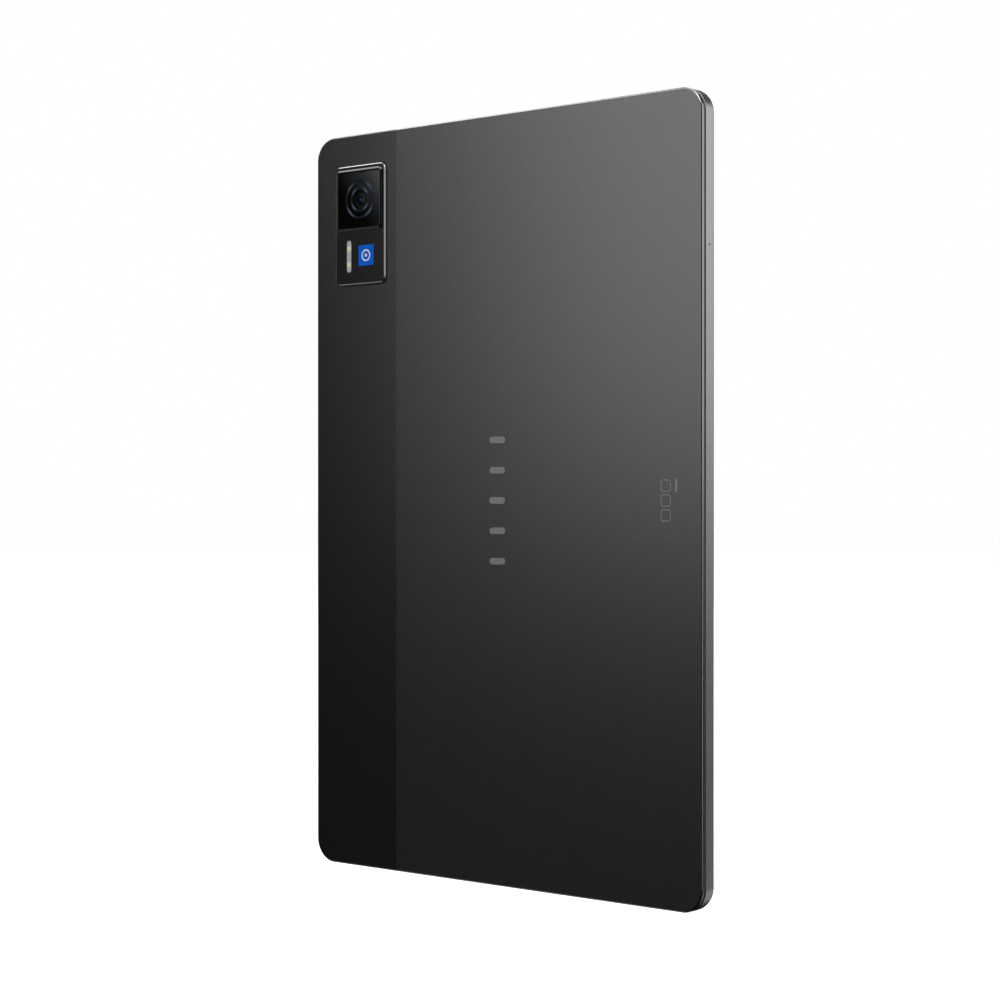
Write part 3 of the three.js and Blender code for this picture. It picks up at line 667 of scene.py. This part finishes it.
def rail_profile():
    """From the seam groove out, round the rail to its front, and back along its inside."""
    depth, front = RAIL["flat_end"], RAIL["front"]
    angles = [math.pi / 2 * k / 10 for k in range(11)]
    round_over = [
        (front * (1 - math.cos(a)), -(depth + RAIL["round"] * math.sin(a))) for a in angles]
    lip = rounding(0, -RAIL["seam_end"], 0.15, steps=4)[::-1]
    return [
        (RAIL["seam"], -SEAM_START), (RAIL["seam"], -RAIL["seam_end"]), *lip, *round_over,
        (SEAT_INSET - 0.02, -RAIL_END), (SEAT_INSET, -RAIL_END + 0.02),
        (SEAT_INSET, -LEDGE["end"]), (LEDGE["inset"], -LEDGE["end"]),
        (LEDGE["inset"], -LEDGE["start"]), (RAIL["wall"], -LEDGE["start"]),
        (RAIL["wall"], -SEAM_START),
    ]


MOUTH, TRAY_MOUTH = 0.12, 0.06  # the radius round the rim of an opening
WALL_DEPTH, USB_DEPTH = 3.2, 5  # just past the inside of the wall
CAMERA_ROOM = {"x": 0.6, "z": 1.0, "corner": 0.3, "start": 4.9, "end": 6.85}
TRAY_GAP, USB_GAP = 0.08, 0.1
power_key, volume_key, tray = middle("power_button"), middle("volume_rocker"), middle("card_tray")
key_hole = KEY["thick"] + 2 * KEY["gap"]
cutters = [
    opening(pill(POWER_LENGTH + 2 * KEY["gap"], key_hole, (power_key.x, 0)), WALL_DEPTH, TOP,
            MOUTH),
    opening(pill(VOLUME_LENGTH + 2 * KEY["gap"], key_hole, (volume_key.z, 0)), WALL_DEPTH,
            CAMERA_SIDE, MOUTH),
    opening(pill(TRAY_LENGTH + 2 * TRAY_GAP, KEY["thick"] + 2 * TRAY_GAP, (tray.z, 0)),
            WALL_DEPTH, CAMERA_SIDE, TRAY_MOUTH),
    opening(pill(USB["width"] + 2 * USB_GAP, USB["thick"] + 2 * USB_GAP), USB_DEPTH, BOTTOM, 0.2),
    opening(circle(MICROPHONE["radius"], (MICROPHONE["z"], 0), 24), WALL_DEPTH, FAR_SIDE, 0.1),
]
for wall in (TOP, BOTTOM):
    for side in (-1, 1):
        for i in range(SLOT["count"]):
            at = side * SLOT["x"] + (i - (SLOT["count"] - 1) / 2) * SLOT["pitch"]
            cutters.append(opening(pill(SLOT["width"], SLOT["height"], (at, 0), 6), WALL_DEPTH,
                                   wall, MOUTH))
camera_low, camera_high = box_mm("front_camera")
front_camera = (middle("front_camera").x, MID_Z)
camera_room = round_rect(
    camera_high.x - camera_low.x + CAMERA_ROOM["x"],
    camera_high.z - camera_low.z + CAMERA_ROOM["z"], CAMERA_ROOM["corner"], front_camera)
cutters.append(sweep(camera_room, [(0, -CAMERA_ROOM["start"]), (0, -CAMERA_ROOM["end"])], BACK))
add_piece("side_rail", carve(sweep(body_outline, rail_profile(), BACK, closed=True), *cutters),
          "side_rail", "mid_frame")


# ---------------------------------------------------------------- keys and card tray

FLANGE = {"reach": 1.2, "width": 2.0, "corner": 0.2, "thick": 0.3, "overlap": 0.1}
KEY_ROOT = RAIL["wall"] + 0.1  # how far a key reaches in, just past the inside of the rail


def key_cap(length, centre, where, proud):
    """A key with a soft edge, and the flange behind the rail that holds it."""
    cap = slab(pill(length, KEY["thick"], (centre, 0), 16), -KEY_ROOT, proud, where, edge=0.25)
    outline = round_rect(length + 2 * FLANGE["reach"], FLANGE["width"], FLANGE["corner"],
                         (centre, -0.05))
    flange = slab(outline, -KEY_ROOT - FLANGE["thick"], -KEY_ROOT + FLANGE["overlap"], where)
    return merged(cap, flange)


PROUD_TOP = box_mm("power_button")[1].z - RAIL_HIGH.z
PROUD_SIDE = box_mm("volume_rocker")[1].x - RAIL_HIGH.x
add_piece("power_key_cap", key_cap(POWER_LENGTH, power_key.x, TOP, PROUD_TOP),
          "side_rail", "power_button", body="power_key")
add_piece("volume_key_cap", key_cap(VOLUME_LENGTH, volume_key.z, CAMERA_SIDE, PROUD_SIDE),
          "side_rail", "volume_rocker", body="volume_key")

tray_low, tray_high = box_mm("card_tray")
HEAD_THICK, TRAY_Z = 1.6, (tray.z - 8.8, tray.z + 5.2)
TRAY_BACK, TRAY_FRONT, POCKET_FLOOR = -3.1, -3.8, -3.65  # heights of the tray's plate
PIN_RADIUS = 0.45


def tray_solid():
    """The tray's head, its plate with a pocket for each card, and the hole for the eject pin."""
    head = slab(pill(TRAY_LENGTH, KEY["thick"], (tray.z, 0), 16), -HEAD_THICK, 0, CAMERA_SIDE,
                edge=0.08)
    into_head = 0.1
    plate_end = tray_high.x - HEAD_THICK + into_head
    plate_size = (plate_end - tray_low.x, TRAY_Z[1] - TRAY_Z[0])
    plate_x, plate_z = (tray_low.x + plate_end) / 2, (TRAY_Z[0] + TRAY_Z[1]) / 2
    plate = slab(round_rect(*plate_size, 0.6, (plate_x, plate_z)), TRAY_FRONT, TRAY_BACK, BACK,
                 edge=0.06, foot=0.06, steps=3)
    whole = carve(head, plate, operation="UNION")
    small = round_rect(8.8, plate_size[1] - 1.6, 0.5, (tray_low.x + 5.1, plate_z))
    large = round_rect(14.8, plate_size[1] - 3.0, 0.5, (tray_low.x + 17.6, plate_z))
    pockets = [sweep(o, [(0, TRAY_BACK + 0.6), (0, POCKET_FLOOR)], BACK) for o in (small, large)]
    pin_at = (box_mm("eject_rod")[0].z + PIN_RADIUS, 0.6)
    pin = opening(circle(PIN_RADIUS, pin_at, 24), 3, CAMERA_SIDE, 0.06)
    return carve(whole, *pockets, pin)


add_piece("card_tray_body", tray_solid(), "side_rail", "card_tray", body="sim_tray")


# ---------------------------------------------------------------- USB port

BACK_WALL = {"thick": 0.6, "inset": 1.5}  # the step at the inner end of the port's shell


def usb_shell_solid():
    low, high = box_mm("usb_shell")
    wall, floor = USB["wall"], -high.z + BACK_WALL["thick"]
    outline = pill(USB["width"], USB["thick"], steps=16)
    lip = rounding(0, -low.z, 0.12, steps=4)
    inner = [(wall - 0.02, -low.z), (wall, -low.z - BREAK), (wall, floor)]
    back = [(BACK_WALL["inset"], floor), (BACK_WALL["inset"], -high.z), (0, -high.z)]
    return sweep(outline, [*lip, *inner, *back], BOTTOM, closed=True)


add_piece("usb_shell_body", usb_shell_solid(), "steel_parts", "usb_shell")
CONTACT = {"count": 12, "pitch": 0.5, "width": 0.25, "length": 2.6, "thick": 0.03,
           "height": 0.35, "from_tip": 1.9}
contact_z = box_mm("usb_tongue")[0].z + CONTACT["from_tip"]
port_middle = place((0, LINE_Y, 0), X, Z, Y)


def contact(i, side):
    """One of the gold strips on a face of the port's tongue."""
    x = (i - (CONTACT["count"] - 1) / 2) * CONTACT["pitch"]
    outline = round_rect(CONTACT["width"], CONTACT["length"], BREAK, (x, contact_z), 3)
    height = side * CONTACT["height"]
    return slab(outline, height, height + side * CONTACT["thick"], port_middle)


contacts = [contact(i, side) for side in (-1, 1) for i in range(CONTACT["count"])]
piece("usb_contacts", merged(*contacts), "housing", gold.material)


# ---------------------------------------------------------------- screen

FRONT_HOLE = {"radius": 1.5, "depth": 0.35}
FRONT = place((0, box_mm("cover_glass")[0].y, 0), X, Z, -Y)
glass_profile = [
    (GLASS["inset"] + BREAK, -GLASS["start"]), (GLASS["inset"], -GLASS["start"] - BREAK),
    *[(i, -h) for i, h in rounding(GLASS["inset"], GLASS["end"], GLASS["edge"])],
]
pocket = opening(circle(FRONT_HOLE["radius"], front_camera), FRONT_HOLE["depth"], FRONT, 0.08)
add_piece("screen_cover", carve(sweep(body_outline, glass_profile, BACK), pocket),
          "screen_glass", "cover_glass")
ring_profile = [
    (1.0, -0.34), (1.45, -0.34), (1.45, -0.2), (1.38, -0.14), (1.1, -0.22), (1.0, -0.3)]
add_piece("front_camera_ring", turned(ring_profile, front_camera, FRONT, 48), "black_plastic")
add_piece("front_camera_lens",
          dome(radius=0.95, base=-0.34, rim=-0.3, crown=-0.12, centre=front_camera, where=FRONT),
          "screen_glass")


# ---------------------------------------------------------------- camera island and lens plate

lens_xz = (lens_centre.x, lens_centre.z)
flash_xz = (flash_centre.x, flash_centre.z)
flash_low, flash_high = box_mm("flash_lens")
FLASH_SIZE = (flash_high.x - flash_low.x, flash_high.z - flash_low.z)
badge = middle("badge_plate")
badge_xz = (badge.x, badge.z)
badge_low, badge_high = box_mm("badge_plate")
BADGE_SIZE = badge_high.x - badge_low.x
ISLAND_FACE = place((0, BACK_Y + ISLAND["rise"], 0), X, Z, Y)
FIT = 0.1  # how much wider than its piece a hole in the island or the lens plate is
THROUGH = 4


def island_solid():
    """The lower step, with its flange under the shell and holes for what sits in it."""
    flange, under = -ISLAND["flange"], -ISLAND["foot"]
    foot = [(flange, under - 0.4), (flange, under), (0, under)]
    body = sweep(island_outline(), foot + rounding(0, ISLAND["rise"], ISLAND["edge"]), BACK)
    badge_hole = round_rect(BADGE_SIZE + FIT, BADGE_SIZE + FIT, 0.35, badge_xz, 6)
    return carve(
        body,
        opening(circle(SHROUD_RADIUS + 0.15, lens_xz), THROUGH, ISLAND_FACE, 0.05),
        opening(pill(FLASH_SIZE[0] + FIT, FLASH_SIZE[1] + FIT, flash_xz), THROUGH, ISLAND_FACE,
                0.08),
        opening(badge_hole, badge_high.y - badge_low.y + 0.08, ISLAND_FACE, 0.05),
    )


island_piece = add_piece("island_body", island_solid(), "island", "camera_island")
island_piece.data.materials.append(bright_edge.material)
for face in island_piece.data.polygons:
    out = max(abs(face.center.x / MM - island.x) - ISLAND_SIZE[0] / 2,
              abs(face.center.z / MM - island.z) - ISLAND_SIZE[1] / 2)
    if -ISLAND["edge"] < out < 0.01 and abs(face.normal.y) < FLAT:
        face.material_index = 1

plate_low, plate_high = box_mm("lens_plate")
PLATE_SIZE = plate_high.x - plate_low.x
PLATE_BOTTOM, PLATE_TOP = heights("lens_plate")
GLASS_BOTTOM, GLASS_TOP = heights("camera_glass")
GLASS_CORNER = 0.65


def plate_solid():
    """The upper step: a sloping edge all round, softened where it starts and ends."""
    bevel, rise = PLATE["bevel"], PLATE["bevel_height"]
    outer = [
        (0.04, PLATE_BOTTOM), (0, PLATE_BOTTOM + 0.04),
        (0, PLATE_TOP - rise - 0.04), (0.06, PLATE_TOP - rise + 0.04),
        (bevel - 0.04, PLATE_TOP - 0.03), (bevel + 0.02, PLATE_TOP - 0.005),
        (bevel + 0.07, PLATE_TOP),
    ]
    body = sweep(round_rect(PLATE_SIZE, PLATE_SIZE, PLATE["corner"], lens_xz), outer, BACK)
    seat = place((0, BACK_Y + PLATE_TOP, 0), X, Z, Y)
    recess = round_rect(GLASS_SIZE + FIT, GLASS_SIZE + FIT, 0.7, lens_xz)
    return carve(body, opening(recess, PLATE["recess"], seat, 0.03),
                 sweep(circle(SHROUD_RADIUS + FIT, lens_xz), [(0, 3), (0, -1)], BACK))


add_piece("lens_plate_body", plate_solid(), "lens_trim", "lens_plate")

glass_outline = round_rect(GLASS_SIZE, GLASS_SIZE, GLASS_CORNER, lens_xz)
WINDOW_DOME, WINDOW_STEPS = 0.16, 14
INK_THICK, INK_CLEARANCE = 0.02, 0.01


def window_solid():
    """The camera glass: a square plate whose face is very slightly domed."""
    stations = [(0, GLASS_BOTTOM + INK_THICK + INK_CLEARANCE)]
    for k in range(WINDOW_STEPS + 1):
        share = k / WINDOW_STEPS
        inset = (GLASS_SIZE / 2 - SMALLEST_RADIUS) * share
        stations.append((inset, GLASS_TOP - WINDOW_DOME * (1 - share) ** 2))
    return sweep(glass_outline, stations, BACK)


add_piece("camera_window_glass", window_solid(), "camera_window", "camera_glass")
# The ink under the window carries the painted sheen.
mask = sweep(glass_outline, [(0, GLASS_BOTTOM), (0, GLASS_BOTTOM + INK_THICK)], BACK)
mask_hole = sweep(circle(SHROUD_RADIUS - 0.05, lens_xz), [(0, 3), (0, 0)], BACK)
piece("window_mask", carve(mask, mask_hole), "housing", ink_and_painted_sheen.material)


# ---------------------------------------------------------------- rear camera

shroud_bottom, shroud_top = heights("lens_shroud")
GROOVE, BARREL_HOLE = 0.12, BARREL_RADIUS + 0.2
shroud_profile = [
    (SHROUD_RADIUS, shroud_bottom), (SHROUD_RADIUS, shroud_top - 0.06),
    (SHROUD_RADIUS - 0.06, shroud_top),
    (5.5, shroud_top), (5.4, shroud_top - GROOVE), (5.1, shroud_top - GROOVE), (5.0, shroud_top),
    (3.4, shroud_top), (BARREL_HOLE, shroud_top - 0.2), (BARREL_HOLE, shroud_bottom),
]
# The shroud is drawn in the same ink, painted sheen and all.
piece("lens_shroud_body", turned(shroud_profile, lens_xz, BACK), "housing", ink_and_painted_sheen.material,
      ["lens_shroud"])
for name, inner, outer in (("outer", 6.05, 6.85), ("inner", 3.6, 4.4)):
    bottom, top = heights("lens_ring_" + name)
    hoop = [(inner, bottom), (outer, bottom), (outer, top - 0.04), (outer - BREAK, top),
            (inner + BREAK, top), (inner, top - 0.04)]
    add_piece("lens_hoop_" + name, turned(hoop, lens_xz, BACK), "lens_rings", "lens_ring_" + name)

barrel_bottom, barrel_top = heights("lens_barrel")
BORE, BORE_FLOOR, AXIS = 2.25, barrel_top - 0.95, 0.01
STEP = {"radius": 2.75, "inwards": 0.14, "down": 0.09}  # the rings of steps round the bore
steps_in = []
for k in range(4):
    r = STEP["radius"] - STEP["inwards"] * k
    steps_in += [(r, barrel_top - STEP["down"] * k), (r, barrel_top - STEP["down"] * (k + 1))]
barrel_profile = [
    (AXIS, barrel_bottom), (BARREL_RADIUS, barrel_bottom), (BARREL_RADIUS, barrel_top - 0.2),
    (BARREL_RADIUS - 0.2, barrel_top), *steps_in, (BORE, barrel_top - 0.4), (BORE, BORE_FLOOR),
    (AXIS, BORE_FLOOR),
]
add_piece("lens_barrel_body", turned(barrel_profile, lens_xz, BACK), "black_plastic", "lens_barrel",
          body="lens_carrier")
element_bottom, element_top = heights("lens_element")
add_piece("lens_front",
          dome(radius=2.2, base=element_bottom, rim=element_top - 0.4, crown=element_top,
               centre=lens_xz, where=BACK),
          "lens_optics", "lens_element", body="lens_carrier")


# ---------------------------------------------------------------- flash, badge and marks

add_piece("flash_window",
          slab(pill(*FLASH_SIZE, flash_xz, 16), *heights("flash_lens"), BACK, edge=0.15),
          "flash_diffuser", "flash_lens")
badge_bottom, badge_top = heights("badge_plate")
add_piece("badge_face",
          slab(round_rect(BADGE_SIZE, BADGE_SIZE, 0.3, badge_xz, 6), badge_bottom,
               badge_top - 0.01, BACK, edge=0.04),
          "badge", "badge_plate")
RING_INNER, RING_OUTER, DOT_RADIUS = 1.55, 2.1, 0.6
mark_bottom = badge_top - 0.02
badge_ring = [(RING_INNER, mark_bottom), (RING_OUTER, mark_bottom), (RING_OUTER, badge_top),
              (RING_INNER, badge_top)]
badge_mark = merged(
    turned(badge_ring, badge_xz, BACK, 64),
    slab(circle(DOT_RADIUS, badge_xz, 40), mark_bottom, badge_top, BACK),
)
piece("badge_mark", badge_mark, "housing", print_white.material)

PRINT = 0.015  # how thick print is on the back panel
BARS = {"x": -0.59, "z": 129.1, "width": 6.76, "height": 2.2, "pitch": 10.16, "count": 5}
MARK = {"x": -69.7, "size": 3.9, "corner": 0.9, "stroke": 0.32}
MARK_HEIGHTS = (124.4, 129.1, 133.8)


def bar(i):
    """One of the plain bars down the middle of the back."""
    z = BARS["z"] + (i - (BARS["count"] - 1) / 2) * BARS["pitch"]
    return slab(pill(BARS["width"], BARS["height"], (BARS["x"], z)), 0, PRINT, BACK)


def square_mark(z):
    """An empty rounded square, drawn as a line."""
    outline = round_rect(MARK["size"], MARK["size"], MARK["corner"], (MARK["x"], z), 8)
    stroke = MARK["stroke"]
    return sweep(outline, [(0, 0), (0, PRINT), (stroke, PRINT), (stroke, 0)], BACK, closed=True)


piece("back_bars", merged(*map(bar, range(BARS["count"]))), "housing", back_print.material)
marks = [square_mark(z) for z in MARK_HEIGHTS]
marks.append(slab(pill(0.85, 4.1, (-73.7, MARK_HEIGHTS[-1]), 6), 0, PRINT, BACK))
piece("back_marks", merged(*marks), "housing", back_print.material)


# ---------------------------------------------------------------- camera, lights and floor

def direction(azimuth, elevation):
    """A unit vector, with azimuth in degrees from +X towards +Y."""
    a, e = math.radians(azimuth), math.radians(elevation)
    return Vector((math.cos(a) * math.cos(e), math.sin(a) * math.cos(e), math.sin(e)))


CENTRE = Vector((0, 0, MID_Z * MM))
VIEW_AZIMUTH, VIEW_DISTANCE, VIEW_SHIFT = 129.765, 0.74066, -0.00051
SENSOR_WIDTH, FOCAL_LENGTH = 36, 79.34
outward = direction(VIEW_AZIMUTH, 0)
right = outward.cross(Z) * -1
camera_data = bpy.data.cameras.new("camera")
camera_data.sensor_width = SENSOR_WIDTH
camera_data.lens = FOCAL_LENGTH
camera = bpy.data.objects.new("camera", camera_data)
camera.location = CENTRE + outward * VIEW_DISTANCE + right * VIEW_SHIFT
camera.rotation_mode = "QUATERNION"
camera.rotation_quaternion = (-outward).to_track_quat("-Z", "Y")
bpy.context.scene.collection.objects.link(camera)
bpy.context.scene.camera = camera


def softbox(name, azimuth, elevation, distance, width, height, power):
    """A soft white light that faces the middle of the tablet."""
    data = bpy.data.lights.new(name, "AREA")
    data.shape = "RECTANGLE"
    data.size, data.size_y = width, height
    data.energy = power
    made = bpy.data.objects.new(name, data)
    outwards = direction(azimuth, elevation)
    made.location = CENTRE + outwards * distance
    made.rotation_mode = "QUATERNION"
    made.rotation_quaternion = outwards.to_track_quat("Z", "Y")
    made.visible_camera = False
    bpy.context.scene.collection.objects.link(made)


softbox("key_back", 66, 34.6, 0.618, 0.302, 0.857, 0.942)
softbox("rim_far_side", 203, 18.5, 1.6, 2.2, 1.05, 9.6)
softbox("rim_near_side", 155, 8, 1.6, 0.8, 1.3, 2.8)
softbox("overhead", 5, 43, 1.5, 1.6, 0.8, 10)
softbox("back_fill", 120, 52, 1.6, 1.0, 0.9, 14)
softbox("front_fill", 275, 74, 1.8, 1.4, 1.0, 12)
softbox("front_sheen", 275, 4, 1.7, 1.6, 1.2, 3)
softbox("near_side", -10, 6, 1.7, 1.0, 1.2, 1.5)
softbox("floor_bounce", 5, -45, 1.2, 1.4, 0.8, 1.5)
softbox("front_bounce", 240, -30, 1.6, 1.2, 0.8, 1.4)

# The world is white behind everything, but lights the tablet only a little.
WORLD_LIGHT = (0.006, 0.006, 0.006, 1)
world = bpy.data.worlds.new("studio")
world.use_nodes = True
bpy.context.scene.world = world
tree = world.node_tree
background = tree.nodes["Background"]
is_camera = tree.nodes.new("ShaderNodeLightPath").outputs["Is Camera Ray"]
mix = tree.nodes.new("ShaderNodeMix")
mix.data_type = "RGBA"
mix.inputs[6].default_value = WORLD_LIGHT
mix.inputs[7].default_value = (1, 1, 1, 1)
tree.links.new(is_camera, mix.inputs["Factor"])
tree.links.new(mix.outputs[2], background.inputs["Color"])


def studio_floor():
    """A pale floor that fades into the white behind it, and casts no light on the tablet."""
    side, thick = 30.0, 0.05
    bm = slab(round_rect(side, side, 1.0, steps=8), -thick, 0, Matrix.Identity(4))
    mesh = bpy.data.meshes.new("studio_floor")
    bm.to_mesh(mesh)
    bm.free()
    nodes = Nodes("pale_floor")
    shade = nodes.blend(nodes.between(nodes.noise(3.0), 0.0, 1.0), (0.9, 0.9, 0.9, 1),
                        (0.93, 0.93, 0.93, 1))
    nodes.feed(nodes.shader, "Base Color", shade)
    nodes.shader.inputs["Roughness"].default_value = 0.9
    nodes.shader.inputs["Specular IOR Level"].default_value = 0.0
    nodes.shader.inputs["Emission Color"].default_value = (1, 1, 1, 1)
    nodes.shader.inputs["Emission Strength"].default_value = 0.985
    mesh.materials.append(nodes.material)
    floor = bpy.data.objects.new("studio_floor", mesh)
    bpy.context.scene.collection.objects.link(floor)
    floor.visible_glossy = False
    floor.visible_shadow = False
    floor.visible_diffuse = False


studio_floor()
bpy.context.scene.view_settings.view_transform = "Standard"
